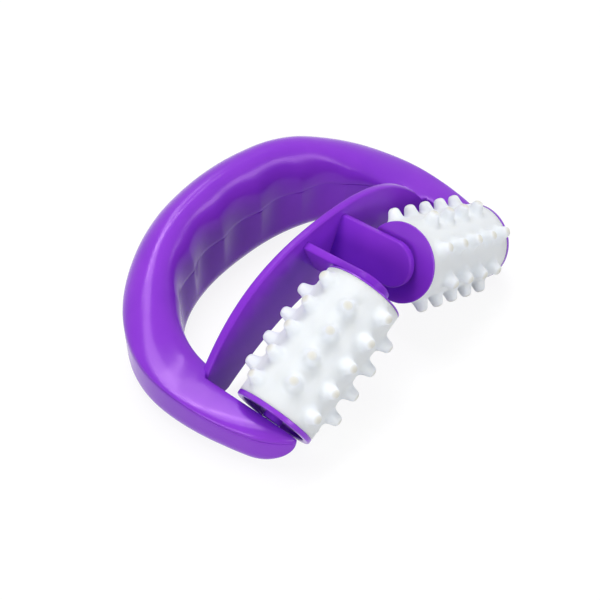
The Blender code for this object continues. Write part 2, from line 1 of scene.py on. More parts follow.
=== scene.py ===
"""Looks of the hand-held roller massager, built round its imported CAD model.

The grip's two moulded halves, the crossbar with its ears, the nubbed rubber sleeves and the
roller caps are remodelled finely over their CAD solids. The cores and the steel pins are the
CAD's own. Lengths are in metres. Setbacks and y values in the grip's and the crossbar's
functions are measured from the line through the two rollers' centres.
"""

import bisect
import collections
import functools
import json
import math

import bmesh
import bpy
from mathutils import Matrix, Vector


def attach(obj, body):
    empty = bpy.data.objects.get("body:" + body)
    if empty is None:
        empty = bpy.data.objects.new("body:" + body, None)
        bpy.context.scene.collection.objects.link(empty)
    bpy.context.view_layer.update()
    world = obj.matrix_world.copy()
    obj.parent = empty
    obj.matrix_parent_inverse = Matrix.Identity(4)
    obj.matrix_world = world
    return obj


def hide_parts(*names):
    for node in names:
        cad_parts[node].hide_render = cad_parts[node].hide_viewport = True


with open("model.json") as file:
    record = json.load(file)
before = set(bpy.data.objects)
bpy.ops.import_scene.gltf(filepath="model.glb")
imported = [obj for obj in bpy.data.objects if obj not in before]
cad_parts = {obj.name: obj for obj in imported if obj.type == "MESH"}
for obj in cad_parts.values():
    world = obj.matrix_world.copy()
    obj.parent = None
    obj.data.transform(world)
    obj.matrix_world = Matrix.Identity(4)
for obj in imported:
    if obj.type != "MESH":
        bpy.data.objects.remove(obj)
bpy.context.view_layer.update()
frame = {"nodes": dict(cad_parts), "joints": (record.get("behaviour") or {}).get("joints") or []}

# Grip, as in the CAD but for the lean of the arms' crowns
GRIP_HALF_WIDTH = 0.0676
GRIP_WIDEST_SETBACK = 0.0305
GRIP_BACK_REACH = 0.0496
GRIP_BACK_EXPONENT = 2.2
GRIP_FRONT_REACH = 0.0715
ARM_END_REACH = 0.0098
GRIP_HEIGHT = 0.0428
ARM_HEIGHT = 0.0178
GRIP_THICKNESS = 0.0222
ARM_THICKNESS = 0.0176
UNDERSIDE_RADIUS = 0.0078
UNDERSIDE_SHARES = (0.3, 0.62)    # the most of the width that the inner and outer radius take
ARM_TIP_LENGTH = 0.015
ARM_TIP_EXPONENT = 2.4
ARM_TIP_RISE_EXPONENT = 1.8
ARM_EDGE_EXPONENT = 3.0
ARM_CROWN_LEAN = 0.2              # of the width, at the arm's end and towards the roller
PARTING_BACK_HEIGHT = 0.0228
PARTING_FRONT_HEIGHT = 0.0143
HEIGHT_SHARES = ((0.0, 1.0), (0.133, 0.97), (0.204, 0.94), (0.286, 0.85), (0.378, 0.67),
                 (0.475, 0.46), (0.583, 0.21), (0.685, 0.065), (0.798, 0.02), (1.0, 0.0))
THICKNESS_SHARES = ((0.0, 1.0), (0.368, 0.76), (0.475, 0.65), (0.583, 0.45), (0.685, 0.15),
                    (0.798, 0.0), (1.0, 0.0))
GROOVE_PITCH = 0.0232
GROOVE_PAIRS = 2
GROOVE_DEPTH = 0.0024             # in the lower half
UPPER_GROOVE_DEPTH = 0.0014       # in the upper half, so that a ledge shows along the joint
RIDGE_SHARPNESS = 1.3             # 2 would be a soft wave, 1 a row of sharp ridges
GROOVE_CROWN_FADE = 4             # exponents with which a groove fades out over the crown
GROOVE_FLANK_FADE = 1.5           # and down the lower half's inner side

# Joint between the grip's halves
JOINT_HALF_GAP = 0.0001
LIP_RADIUS = 0.00025

# Crossbar and ears, as in the CAD but with ears that are thicker, rounder and nearer to the caps
WALL_SETBACK = 0.0268
WALL_THICKNESS = 0.0032
WALL_CROWN = 0.0485
WALL_TOP_DROP = 0.0292
WALL_QUADRATIC_SHARE = 0.52
WALL_SOFFIT = 0.0196
WALL_SOFFIT_DROP = 0.0225
WALL_LOWEST = 0.0026
WALL_SPAN = 0.0608
WALL_REACH = 0.0642
WALL_TOP_ROUND = 0.0010
WALL_FOOT_ROUND = 0.0008
EAR_THICKNESS = 0.0031
EAR_HEIGHT = 0.0174
EAR_TIP_REACH = 0.0079
EAR_CORNER_RADIUS = 0.0086
EAR_EDGE_ROUND = 0.0007
EAR_BOSS_RADIUS = 0.0038
BOSS_HOLE_ROOM = 0.0003
BOSS_CAP_GAP = 0.0003
BOSS_FILLET = 0.0004
BOSS_CHAMFER = 0.0002

# Rollers, as in the CAD but for slimmer hubs and arms nearer to the caps. Places along a pin
# are measured from its sleeve's middle.
ROLLER_DROOP = math.radians(24.6)
ROLLER_LEAN = math.radians(4.2)
SLEEVE_HALF = 0.025721
FLANGE_UNDERSIDE = SLEEVE_HALF + 0.0003
INNER_END = FLANGE_UNDERSIDE + 0.0006
OUTER_END = FLANGE_UNDERSIDE + 0.0017
EAR_NEAR = INNER_END + 0.0013
ARM_FACE = OUTER_END + 0.0014
PIN_RADIUS = 0.002
SLEEVE_RADIUS = 0.0149
SLEEVE_BORE = 0.0121
SLEEVE_EDGE_ROUND = 0.0003
SLEEVE_END_GAP = 0.00003
CAP_RADIUS = 0.0149
CAP_PIN_ROOM = 0.0002
CAP_HUB_RADIUS = 0.0036
HUB_ARM_GAP = 0.0003
HUB_CHAMFER = 0.0003
HUB_LENGTH = 0.006                # under the plate of a cap
CUP_RIM_WIDTH = 0.0024
CUP_DEPTH = 0.0016
CUP_CHAMFER = 0.0004
OUTER_RIM_ROUND = 0.0006
OUTER_PLATE = 0.0015
INNER_RIM_ROUND = 0.00025
INNER_PLATE = 0.0019
SPIGOT_RADIUS = 0.0098
SPIGOT_WALL = 0.0016
SPIGOT_LENGTH = 0.006
NUB_REACH = 0.0195
NUB_HEIGHT = NUB_REACH - SLEEVE_RADIUS
NUB_PITCH = 0.010278
NUB_FIELD_SHIFT = 0.00013
NUB_ROWS = 8
NUBS_IN_ROW = 4                   # and one more in every second row
LEFT_SPIN = math.radians(-24.4)
RIGHT_SPIN = math.radians(187.2)

# A nub from its tip to its flared foot and its root, as (radius, height over the sleeve) in
# millimetres
NUB_PROFILE = ((0.0, 4.60), (0.50, 4.58), (0.98, 4.48), (1.42, 4.26), (1.77, 3.93), (2.02, 3.50),
               (2.18, 3.00), (2.33, 2.45), (2.49, 1.90), (2.66, 1.38), (2.87, 0.92), (3.15, 0.54),
               (3.52, 0.26), (3.98, 0.08), (4.50, -0.04), (4.50, -0.60), (0.0, -0.60))

# How finely the pieces are drawn
MERGE_DISTANCE = 0.000002
SHARP_ANGLE = math.radians(40)
CENTRE_LINE_STEPS = 1600
PALM_STATIONS = 120               # from the palm side to the crossbar
ARM_STATIONS = 14                 # from the crossbar to the arm's rounded end
TIP_STATIONS = 20
LIP_STEPS = 3
CROWN_STEPS = 40
FLANK_STEPS = 12
UNDERSIDE_STEPS = 10
OUTER_SIDE_STEPS = 6
WALL_STEPS = 60                   # from the middle to each end
WALL_FOOT_STEPS = 5
WALL_TOP_STEPS = 6
EAR_CORNER_STEPS = 14
EAR_EDGE_STEPS = 4
BOSS_STEPS = 40
ROLLER_STEPS = 120
NUB_STEPS = 24

joints = {joint["name"]: joint for joint in frame["joints"]}
ROLLER_CENTRES = {side: Vector(joints[side + "_roller_spin"]["pos_m"]) for side in ("left", "right")}
ROLLER_AXES = {side: Vector(joints[side + "_roller_spin"]["axis"]) for side in ("left", "right")}
ROLLER_LINE_Y = ROLLER_CENTRES["right"].y


# Materials

VIOLET_PLASTIC_COLOUR = (0.268, 0.040, 0.665)
VIOLET_PLASTIC_DEEP = (0.232, 0.034, 0.612)
VIOLET_PLASTIC_SHEEN = (0.95, 0.60, 1.0, 1)
GRIP_GLOSS = 0.36
CROSSBAR_GLOSS = 0.12
CAP_GLOSS = 0.5
RUBBER_COLOUR = (0.845, 0.885, 0.960)
RUBBER_TIP_COLOUR = (0.700, 0.690, 0.620)
RUBBER_GLOW_DEPTHS = (0.0042, 0.0043, 0.0047)
NUB_WORN_DEPTH = 0.0007
CORE_COLOUR = (0.62, 0.61, 0.59)
CORE_DEEP = (0.56, 0.55, 0.53)
STEEL_COLOUR = (0.62, 0.63, 0.64)
STEEL_SCRATCH_COLOUR = (0.50, 0.51, 0.53)
STEEL_SCRATCH_STRETCH = (1, 1, 0.04)


def new_finish(name):
    """A material with its node tree, its shader and a node that gives Object coordinates."""
    finish = bpy.data.materials.new(name)
    finish.use_nodes = True
    tree = finish.node_tree
    shader = tree.nodes["Principled BSDF"]
    place = tree.nodes.new("ShaderNodeTexCoord").outputs["Object"]
    return finish, tree, shader, place


def add_node(tree, kind, settings=None, **inputs):
    """A node with its settings, and values or links on its named inputs."""
    node = tree.nodes.new(kind)
    for key, value in (settings or {}).items():
        setattr(node, key, value)
    for key, value in inputs.items():
        socket = node.inputs[key.replace("_", " ")]
        if isinstance(value, bpy.types.NodeSocket):
            tree.links.new(value, socket)
        else:
            socket.default_value = value
    return node


def mottle(tree, place, scale, detail=3.0):
    """Noise of a scale, in waves per metre or so."""
    return add_node(tree, "ShaderNodeTexNoise", Vector=place, Scale=scale, Detail=detail).outputs[0]


def spread(tree, value, low, high, start=0.35, end=0.65):
    """value, which runs from start to end, spread over low to high."""
    node = add_node(tree, "ShaderNodeMapRange", {"clamp": True}, Value=value)
    for key, number in zip(("From Min", "From Max", "To Min", "To Max"), (start, end, low, high)):
        node.inputs[key].default_value = number
    return node.outputs[0]


def blend_colours(tree, factor, first, second):
    """The first colour where the factor is 0 and the second where it is 1."""
    mix = tree.nodes.new("ShaderNodeMix")
    mix.data_type = "RGBA"
    tree.links.new(factor, mix.inputs[0])
    mix.inputs[6].default_value = (*first, 1)
    mix.inputs[7].default_value = (*second, 1)
    return mix.outputs[2]


def bump(tree, shader, *layers):
    """Layers of relief, each (height, strength, depth in metres), on the shader's normal."""
    normal = None
    for height, strength, depth in layers:
        node = add_node(tree, "ShaderNodeBump", Height=height, Strength=strength, Distance=depth)
        if normal is not None:
            tree.links.new(normal, node.inputs["Normal"])
        normal = node.outputs[0]
    tree.links.new(normal, shader.inputs["Normal"])


def violet_plastic(name, gloss):
    """Polished plastic with faint waves in its colour, its gloss and its surface."""
    finish, tree, shader, place = new_finish(name)
    tone = spread(tree, mottle(tree, place, 38.0), 0.0, 1.0)
    tree.links.new(blend_colours(tree, tone, VIOLET_PLASTIC_COLOUR, VIOLET_PLASTIC_DEEP),
                   shader.inputs["Base Color"])
    haze = spread(tree, mottle(tree, place, 150.0), 0.17, 0.23)
    tree.links.new(haze, shader.inputs["Roughness"])
    shader.inputs["IOR"].default_value = 1.49
    shader.inputs["Specular IOR Level"].default_value = gloss
    shader.inputs["Specular Tint"].default_value = VIOLET_PLASTIC_SHEEN
    bump(tree, shader, (mottle(tree, place, 60.0, 1.0), 0.10, 0.00012),
         (mottle(tree, place, 900.0, 1.0), 0.03, 0.00001))
    return finish


def white_rubber(name, pivot, axis):
    """Rubber that is slightly worn and yellowed on the nubs' tips."""
    finish, tree, shader, place = new_finish(name)
    offset = add_node(tree, "ShaderNodeVectorMath", {"operation": "SUBTRACT"})
    tree.links.new(place, offset.inputs[0])
    offset.inputs[1].default_value = pivot
    across = add_node(tree, "ShaderNodeVectorMath", {"operation": "CROSS_PRODUCT"})
    tree.links.new(offset.outputs[0], across.inputs[0])
    across.inputs[1].default_value = axis
    reach = add_node(tree, "ShaderNodeVectorMath", {"operation": "LENGTH"})
    tree.links.new(across.outputs[0], reach.inputs[0])
    tips = spread(tree, reach.outputs["Value"], 0.0, 1.0, NUB_REACH - NUB_WORN_DEPTH, NUB_REACH)
    tree.links.new(blend_colours(tree, tips, RUBBER_COLOUR, RUBBER_TIP_COLOUR),
                   shader.inputs["Base Color"])
    dullness = spread(tree, mottle(tree, place, 260.0, 4.0), 0.38, 0.52)
    tree.links.new(dullness, shader.inputs["Roughness"])
    shader.inputs["Specular IOR Level"].default_value = 0.2
    shader.inputs["Subsurface Weight"].default_value = 0.75
    shader.inputs["Subsurface Radius"].default_value = RUBBER_GLOW_DEPTHS
    shader.inputs["Subsurface Scale"].default_value = 1.0
    bump(tree, shader, (mottle(tree, place, 700.0), 0.15, 0.00003))
    return finish


def core_plastic(name):
    """Plain moulded plastic."""
    finish, tree, shader, place = new_finish(name)
    tone = spread(tree, mottle(tree, place, 60.0), 0.0, 1.0)
    tree.links.new(blend_colours(tree, tone, CORE_COLOUR, CORE_DEEP), shader.inputs["Base Color"])
    shader.inputs["Roughness"].default_value = 0.5
    bump(tree, shader, (mottle(tree, place, 900.0), 0.15, 0.00002))
    return finish


def pin_steel(name, axis):
    """Drawn steel with fine scratches that run along the pin."""
    finish, tree, shader, place = new_finish(name)
    turn = Vector((0, 0, 1)).rotation_difference(axis).inverted().to_euler()
    drawn = add_node(tree, "ShaderNodeMapping", Vector=place)
    drawn.inputs["Rotation"].default_value = turn
    drawn.inputs["Scale"].default_value = STEEL_SCRATCH_STRETCH
    scratches = mottle(tree, drawn.outputs[0], 4200.0, 2.0)
    tree.links.new(blend_colours(tree, scratches, STEEL_SCRATCH_COLOUR, STEEL_COLOUR),
                   shader.inputs["Base Color"])
    tree.links.new(spread(tree, scratches, 0.2, 0.36), shader.inputs["Roughness"])
    shader.inputs["Metallic"].default_value = 1.0
    bump(tree, shader, (scratches, 0.2, 0.00001))
    return finish


def put_finish(piece, finish):
    piece.data.materials.clear()
    piece.data.materials.append(finish)


# Making pieces

def finished_piece(bm, name, finish):
    """An object from a bmesh whose faces are turned outwards, smooth but for its sharp corners."""
    bmesh.ops.remove_doubles(bm, verts=bm.verts, dist=MERGE_DISTANCE)
    bmesh.ops.dissolve_degenerate(bm, edges=bm.edges, dist=MERGE_DISTANCE / 2)
    bmesh.ops.recalc_face_normals(bm, faces=bm.faces)
    mesh = bpy.data.meshes.new(name)
    bm.to_mesh(mesh)
    bm.free()
    mesh.shade_smooth()
    mesh.set_sharp_from_angle(angle=SHARP_ANGLE)
    piece = bpy.data.objects.new(name, mesh)
    bpy.context.scene.collection.objects.link(piece)
    put_finish(piece, finish)
    return piece


def skin(rings):
    """A grid drawn over rings of points, each of which ends where it begins."""
    bm = bmesh.new()
    across, along = len(rings) - 1, len(rings[0]) - 1
    bmesh.ops.create_grid(bm, x_segments=across, y_segments=along, size=1)
    for vert in bm.verts:
        vert.co = rings[round((vert.co.x + 1) / 2 * across)][round((vert.co.y + 1) / 2 * along)]
    bmesh.ops.remove_doubles(bm, verts=bm.verts, dist=MERGE_DISTANCE)
    return bm


def turned(profile, steps):
    """A profile of (radius, z) points spun round the Z axis."""
    bm = bmesh.new()
    verts = [bm.verts.new((radius, 0, z)) for radius, z in profile]
    edges = [bm.edges.new(pair) for pair in zip(verts, verts[1:])]
    bmesh.ops.spin(bm, geom=verts + edges, cent=(0, 0, 0), axis=(0, 0, 1), angle=2 * math.pi,
                   steps=steps, use_merge=True)
    bmesh.ops.remove_doubles(bm, verts=bm.verts, dist=MERGE_DISTANCE)
    return bm


def add_form(bm, form, matrix):
    """Join a form to a bmesh, moved by a matrix. The form is used up."""
    bmesh.ops.transform(form, verts=form.verts, matrix=matrix)
    mesh = bpy.data.meshes.new("form")
    form.to_mesh(mesh)
    form.free()
    bm.from_mesh(mesh)
    bpy.data.meshes.remove(mesh)


def joined(base, other):
    """One closed skin round two forms that run into each other. Both forms are used up."""
    union = base.modifiers.new("joined", "BOOLEAN")
    union.operation = "UNION"
    union.object = other
    union.solver = "EXACT"
    mesh = bpy.data.meshes.new_from_object(base.evaluated_get(bpy.context.evaluated_depsgraph_get()))
    bm = bmesh.new()
    bm.from_mesh(mesh)
    bpy.data.meshes.remove(mesh)
    for form in (base, other):
        bpy.data.objects.remove(form)
    return bm


def arc(centre_out, centre_up, radius, start, end, steps):
    """Points of an arc as (out, up), with its angles in degrees."""
    turns = [math.radians(start + (end - start) * i / steps) for i in range(steps + 1)]
    return [(centre_out + radius * math.cos(turn), centre_up + radius * math.sin(turn))
            for turn in turns]


def roller_frame(side):
    """A roller's frame: origin in its middle, +Z outwards along its pin."""
    sign = -1 if side == "left" else 1
    lean = Matrix.Rotation(-ROLLER_LEAN, 4, "X")
    return (Matrix.Translation(ROLLER_CENTRES[side]) @ lean
            @ Matrix.Rotation(sign * (math.pi / 2 + ROLLER_DROOP), 4, "Y"))


RIGHT = roller_frame("right")
RIGHT_INVERSE = RIGHT.inverted()


# The grip. Its right half is drawn by sections along its centre line and mirrored.

Station = collections.namedtuple("Station", "point outward inner width top")


def smooth_table(table, share):
    """A value between the rows of a table of shares, on a smooth curve that starts level."""
    i = max(k for k in range(len(table) - 1) if table[k][0] <= share)
    (a, value_a), (b, value_b) = table[i], table[i + 1]
    before = table[max(i - 1, 0)]
    after = table[min(i + 2, len(table) - 1)]
    start = (value_b - before[1]) / (b - before[0]) * (b - a) if i > 0 else 0.0
    end = (after[1] - value_a) / (after[0] - a) * (b - a)
    k = (share - a) / (b - a)
    blend = k * k * (3 - 2 * k)
    return value_a * (1 - blend) + value_b * blend + start * k * (1 - k) ** 2 - end * (1 - k) * k ** 2


def centre_line(angle):
    """A point of the right half of the grip's centre line; the palm side is at 90 degrees."""
    c = math.cos(angle)
    s = math.sin(angle)
    if angle <= 0:
        return Vector((GRIP_HALF_WIDTH * c, GRIP_WIDEST_SETBACK + GRIP_FRONT_REACH * s))
    power = 2 / GRIP_BACK_EXPONENT
    return Vector((GRIP_HALF_WIDTH * max(c, 0) ** power,
                   GRIP_WIDEST_SETBACK + GRIP_BACK_REACH * s ** power))


def centre_path():
    """Points along the centre line from the palm side to the arm's end, and their lengths."""
    start = math.pi / 2
    end = -math.asin((GRIP_WIDEST_SETBACK + ARM_END_REACH) / GRIP_FRONT_REACH)
    points = [centre_line(start + (end - start) * i / CENTRE_LINE_STEPS)
              for i in range(CENTRE_LINE_STEPS + 1)]
    lengths = [0.0]
    for a, b in zip(points, points[1:]):
        lengths.append(lengths[-1] + (b - a).length)
    return points, lengths


PATH, PATH_LENGTHS = centre_path()
ARM_LENGTH = PATH_LENGTHS[-1]


def place_at(length):
    """The centre line's point at a length from the palm side, and the outward direction there."""
    i = min(max(bisect.bisect_left(PATH_LENGTHS, length), 1), len(PATH) - 1)
    start, end = PATH[i - 1], PATH[i]
    mix = (length - PATH_LENGTHS[i - 1]) / (PATH_LENGTHS[i] - PATH_LENGTHS[i - 1])
    along = (end - start).normalized()
    outward = Vector((-along.y, along.x)) if length > 0 else Vector((0, 1))
    return start.lerp(end, mix), outward


def length_at(setback):
    """Where the centre line comes forward to a setback."""
    return next(length for point, length in zip(PATH, PATH_LENGTHS) if point.y <= setback)


def parting(y):
    """Height of the plane where the grip's two halves meet."""
    run = GRIP_WIDEST_SETBACK + GRIP_BACK_REACH
    return PARTING_FRONT_HEIGHT + (PARTING_BACK_HEIGHT - PARTING_FRONT_HEIGHT) * y / run


def on_parting(point):
    """The place where a point of the grip's plan lies on that plane."""
    return Vector((point.x, ROLLER_LINE_Y + point.y, parting(point.y)))


def groove(length):
    """Depth of the finger grooves as a share: rounded hollows with ridges between them."""
    if length >= GROOVE_PITCH * (GROOVE_PAIRS + 0.5):
        return 0.0
    return abs(math.cos(math.pi * length / GROOVE_PITCH)) ** RIDGE_SHARPNESS


def tip_shrink(length, exponent):
    """The section's share of its full size, which falls over the arm's rounded end."""
    left = ARM_LENGTH - length
    if left >= ARM_TIP_LENGTH:
        return 1.0
    return max(1 - (1 - left / ARM_TIP_LENGTH) ** exponent, 0.0) ** (1 / exponent)


def behind_face(place):
    """How far a place lies behind the right arm's face, as seen from the roller. It is less
    than 0 on the roller's side of the face."""
    return (RIGHT_INVERSE @ place).z - ARM_FACE


def inner_side(point, outward, reach):
    """Where a section's inner side lies, from the centre line."""
    if point.y > WALL_SETBACK:
        return -reach
    here = behind_face(on_parting(point))
    further = behind_face(on_parting(point + outward * reach))
    return max(-reach, reach * here / (here - further))


@functools.lru_cache(maxsize=None)
def station(length):
    """The section at a length along the centre line."""
    point, outward = place_at(length)
    share = min(length / ARM_LENGTH, 1.0)
    thick = ARM_THICKNESS + (GRIP_THICKNESS - ARM_THICKNESS) * smooth_table(THICKNESS_SHARES, share)
    top = ARM_HEIGHT + (GRIP_HEIGHT - ARM_HEIGHT) * smooth_table(HEIGHT_SHARES, share)
    inner = inner_side(point, outward, thick / 2)
    return Station(point, outward, inner, thick / 2 - inner, top)


def grip_spot(length, out, height):
    """A point of the grip's skin. out is measured from the section's inner side, and height is
    a function of the height of the joint there. An arm ends at its face."""
    here = station(length)
    x, y = here.point + here.outward * (here.inner + out * tip_shrink(length, ARM_TIP_EXPONENT))
    seam = parting(y)
    rise = (height(seam) - seam) * tip_shrink(length, ARM_TIP_RISE_EXPONENT)
    place = Vector((x, ROLLER_LINE_Y + y, seam + rise))
    if here.point.y <= WALL_SETBACK:
        side = here.outward.to_3d()
        place -= side * min(behind_face(place), 0) / side.dot(RIGHT.col[2].to_3d())
    return place


def lip(out, inwards, upwards):
    """The rounded edge of a half along the joint, from the joint's face to the skin."""
    base = upwards * (JOINT_HALF_GAP + LIP_RADIUS)
    return [(out + inwards * (LIP_RADIUS - along), lambda seam, rise=rise: seam + base - upwards * rise)
            for along, rise in arc(0, 0, LIP_RADIUS, 90, 0, LIP_STEPS)]


def upper_ring(length):
    """One closed section of the grip's upper half: the crown, both lips and the joint's face."""
    here = station(length)
    width, top = here.width, here.top
    in_arm = here.point.y <= WALL_SETBACK
    bend = 2 / ARM_EDGE_EXPONENT if in_arm else 1.0
    ahead = max(WALL_SETBACK - here.point.y, 0) / (WALL_SETBACK + ARM_END_REACH)
    lean = ARM_CROWN_LEAN * width * ahead
    deep = UPPER_GROOVE_DEPTH * groove(length)
    base = JOINT_HALF_GAP + LIP_RADIUS
    marks = lip(width, -1, 1)
    for i in range(1, CROWN_STEPS):
        turn = math.pi * i / CROWN_STEPS
        across, rise = math.cos(turn), math.sin(turn)
        out = width * (1 + across) / 2
        if across < 0:
            out = width * (1 - abs(across) ** bend) / 2 + deep * across ** GROOVE_CROWN_FADE
            rise = rise ** bend
        marks.append((out - lean * rise ** 2,
                      lambda seam, rise=rise: seam + base + (top - seam - base) * rise))
    marks += lip(deep, 1, 1)[::-1]
    marks.append(marks[0])
    return [grip_spot(length, *mark) for mark in marks]


def lower_ring(length):
    """One closed section of the grip's lower half: inner side, underside, outer side and joint."""
    width = station(length).width
    inner_radius, outer_radius = (min(UNDERSIDE_RADIUS, share * width) for share in UNDERSIDE_SHARES)
    deep = GROOVE_DEPTH * groove(length)
    base = JOINT_HALF_GAP + LIP_RADIUS
    marks = lip(deep, 1, -1)
    for i in range(1, FLANK_STEPS):
        fade = i / FLANK_STEPS
        marks.append((deep * (1 - fade ** GROOVE_FLANK_FADE),
                      lambda seam, fade=fade: seam - base + (inner_radius - seam + base) * fade))
    for out, up in arc(inner_radius, inner_radius, inner_radius, 180, 270, UNDERSIDE_STEPS):
        marks.append((out, lambda seam, up=up: up))
    for out, up in arc(width - outer_radius, outer_radius, outer_radius, 270, 360, UNDERSIDE_STEPS):
        marks.append((out, lambda seam, up=up: up))
    for i in range(1, OUTER_SIDE_STEPS):
        marks.append((width, lambda seam, rise=i / OUTER_SIDE_STEPS:
                      outer_radius + (seam - base - outer_radius) * rise))
    marks += lip(width, -1, -1)[::-1]
    marks.append(marks[0])
    return [grip_spot(length, *mark) for mark in marks]


def grip_lengths():
    """Stations along the arm: none within the crossbar, and close ones over the rounded end."""
    behind = length_at(WALL_SETBACK + WALL_THICKNESS)
    ahead = length_at(WALL_SETBACK)
    straight = ARM_LENGTH - ARM_TIP_LENGTH
    lengths = [behind * i / PALM_STATIONS for i in range(PALM_STATIONS + 1)]
    lengths += [ahead + (straight - ahead) * i / ARM_STATIONS for i in range(ARM_STATIONS)]
    lengths += [straight + ARM_TIP_LENGTH * math.sin(math.pi / 2 * i / TIP_STATIONS)
                for i in range(TIP_STATIONS + 1)]
    return lengths


def grip_half(name, ring, node, finish):
    """One moulded half of the grip, from its rings of the right side."""
    bm = skin([ring(length) for length in grip_lengths()])
    bmesh.ops.mirror(bm, geom=bm.verts[:] + bm.edges[:] + bm.faces[:], axis="X",
                     merge_dist=MERGE_DISTANCE)
    piece = finished_piece(bm, name, finish)
    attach(piece, "handle")
    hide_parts(node)


# The crossbar

def wall_top(x):
    """Height of the wall's arched top at x."""
    k = abs(x) / WALL_SPAN
    drop = WALL_QUADRATIC_SHARE * k ** 2 + (1 - WALL_QUADRATIC_SHARE) * k ** 4
    return WALL_CROWN - WALL_TOP_DROP * drop


def wall_foot(x):
    """Height of the wall's arched foot at x."""
    return max(WALL_SOFFIT - WALL_SOFFIT_DROP * (x / WALL_SPAN) ** 2, WALL_LOWEST)


def wall_ring(x):
    """The wall's section at x: a tall bar with rounded edges."""
    front = ROLLER_LINE_Y + WALL_SETBACK
    back = front + WALL_THICKNESS
    low, low_round = wall_foot(x) + WALL_FOOT_ROUND, WALL_FOOT_ROUND
    high, high_round = wall_top(x) - WALL_TOP_ROUND, WALL_TOP_ROUND
    points = arc(front + low_round, low, low_round, 180, 270, WALL_FOOT_STEPS)
    points += arc(back - low_round, low, low_round, 270, 360, WALL_FOOT_STEPS)
    points += arc(back - high_round, high, high_round, 0, 90, WALL_TOP_STEPS)
    points += arc(front + high_round, high, high_round, 90, 180, WALL_TOP_STEPS)
    return [Vector((x, y, z)) for y, z in points + points[:1]]


def ear():
    """The right ear in its roller's frame: a plate with its front corners rounded."""
    length = WALL_SETBACK + WALL_THICKNESS / 2 + EAR_TIP_REACH
    bm = bmesh.new()
    bmesh.ops.create_grid(bm, x_segments=1, y_segments=1, size=0.5)
    bmesh.ops.scale(bm, verts=bm.verts, vec=(EAR_HEIGHT, length, 1))
    bmesh.ops.translate(bm, verts=bm.verts,
                        vec=(0, length / 2 - EAR_TIP_REACH, -EAR_NEAR - EAR_THICKNESS))
    bmesh.ops.bevel(bm, geom=[vert for vert in bm.verts if vert.co.y < 0], offset=EAR_CORNER_RADIUS,
                    affect="VERTICES", segments=EAR_CORNER_STEPS, profile=0.5, material=-1)
    grown = bmesh.ops.extrude_face_region(bm, geom=bm.faces[:])["geom"]
    bmesh.ops.translate(bm, verts=[part for part in grown if isinstance(part, bmesh.types.BMVert)],
                        vec=(0, 0, EAR_THICKNESS))
    bmesh.ops.recalc_face_normals(bm, faces=bm.faces)
    rim = [edge for edge in bm.edges
           if abs(edge.verts[0].co.z - edge.verts[1].co.z) < EAR_THICKNESS / 2]
    bmesh.ops.bevel(bm, geom=rim, offset=EAR_EDGE_ROUND, affect="EDGES", segments=EAR_EDGE_STEPS,
                    profile=0.5, material=-1)
    return bm


def boss_profile():
    """The raised ring round the pin on an ear's face, closed, from its flared foot to its end
    just short of the inner cap."""
    hole = PIN_RADIUS + BOSS_HOLE_ROOM
    end = -INNER_END - BOSS_CAP_GAP
    return [(hole, -EAR_NEAR - 0.0003), (EAR_BOSS_RADIUS + BOSS_FILLET, -EAR_NEAR - 0.0001),
            (EAR_BOSS_RADIUS, -EAR_NEAR + BOSS_FILLET), (EAR_BOSS_RADIUS, end - BOSS_CHAMFER),
            (EAR_BOSS_RADIUS - BOSS_CHAMFER, end), (hole, end), (hole, -EAR_NEAR - 0.0003)]


def crossbar(finish):
    """The arched wall with both ears and their bosses."""
    bm = skin([wall_ring(WALL_REACH * i / WALL_STEPS) for i in range(-WALL_STEPS, WALL_STEPS + 1)])
    bmesh.ops.holes_fill(bm, edges=[edge for edge in bm.edges if edge.is_boundary], sides=0)
    for sign in (1, -1):
        mirror = Matrix.Diagonal((sign, 1, 1, 1))
        add_form(bm, ear(), mirror @ RIGHT)
        add_form(bm, turned(boss_profile(), BOSS_STEPS), mirror @ RIGHT)
    piece = finished_piece(bm, "crossbar_with_ears", finish)
    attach(piece, "handle")
    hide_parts("crossbar")


# The rollers

def nub():
    """A nub on a sleeve, its axis along +X. Its foot follows the sleeve's curve, up to half its
    height."""
    bm = turned([(radius / 1000, height / 1000) for radius, height in NUB_PROFILE], NUB_STEPS)
    for vert in bm.verts:
        around, along, height = vert.co
        root = math.sqrt(SLEEVE_RADIUS ** 2 - around ** 2)
        rise = min(max(height / (NUB_HEIGHT / 2), 0.0), 1.0)
        vert.co = (height + root + (SLEEVE_RADIUS - root) * rise, around, along)
    return bm


def nub_field():
    """All nubs of a sleeve, in rows along it."""
    field = bmesh.new()
    for row in range(NUB_ROWS):
        count = NUBS_IN_ROW + row % 2
        for i in range(count):
            along = NUB_FIELD_SHIFT + NUB_PITCH * (i - (count - 1) / 2)
            add_form(field, nub(), Matrix.Rotation(2 * math.pi * row / NUB_ROWS, 4, "Z")
                     @ Matrix.Translation((0, 0, along)))
    return field


def sleeve(side, spin, finish):
    """A rubber sleeve with its nubs, turned to where its roller stands."""
    end, edge = FLANGE_UNDERSIDE - SLEEVE_END_GAP, SLEEVE_EDGE_ROUND
    profile = [(SLEEVE_BORE, -end)] + arc(SLEEVE_RADIUS - edge, edge - end, edge, -90, 0, 4)
    profile += arc(SLEEVE_RADIUS - edge, end - edge, edge, 0, 90, 4)
    profile += [(SLEEVE_BORE, end), (SLEEVE_BORE, -end)]
    tube = finished_piece(turned(profile, ROLLER_STEPS), "tube_form", finish)
    nubs = finished_piece(nub_field(), "nub_field", finish)
    bm = joined(tube, nubs)
    bmesh.ops.transform(bm, verts=bm.verts, matrix=roller_frame(side) @ Matrix.Rotation(spin, 4, "Z"))
    piece = finished_piece(bm, side + "_nubbed_sleeve", finish)
    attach(piece, side + "_roller")
    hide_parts(side + "_roller_sleeve")


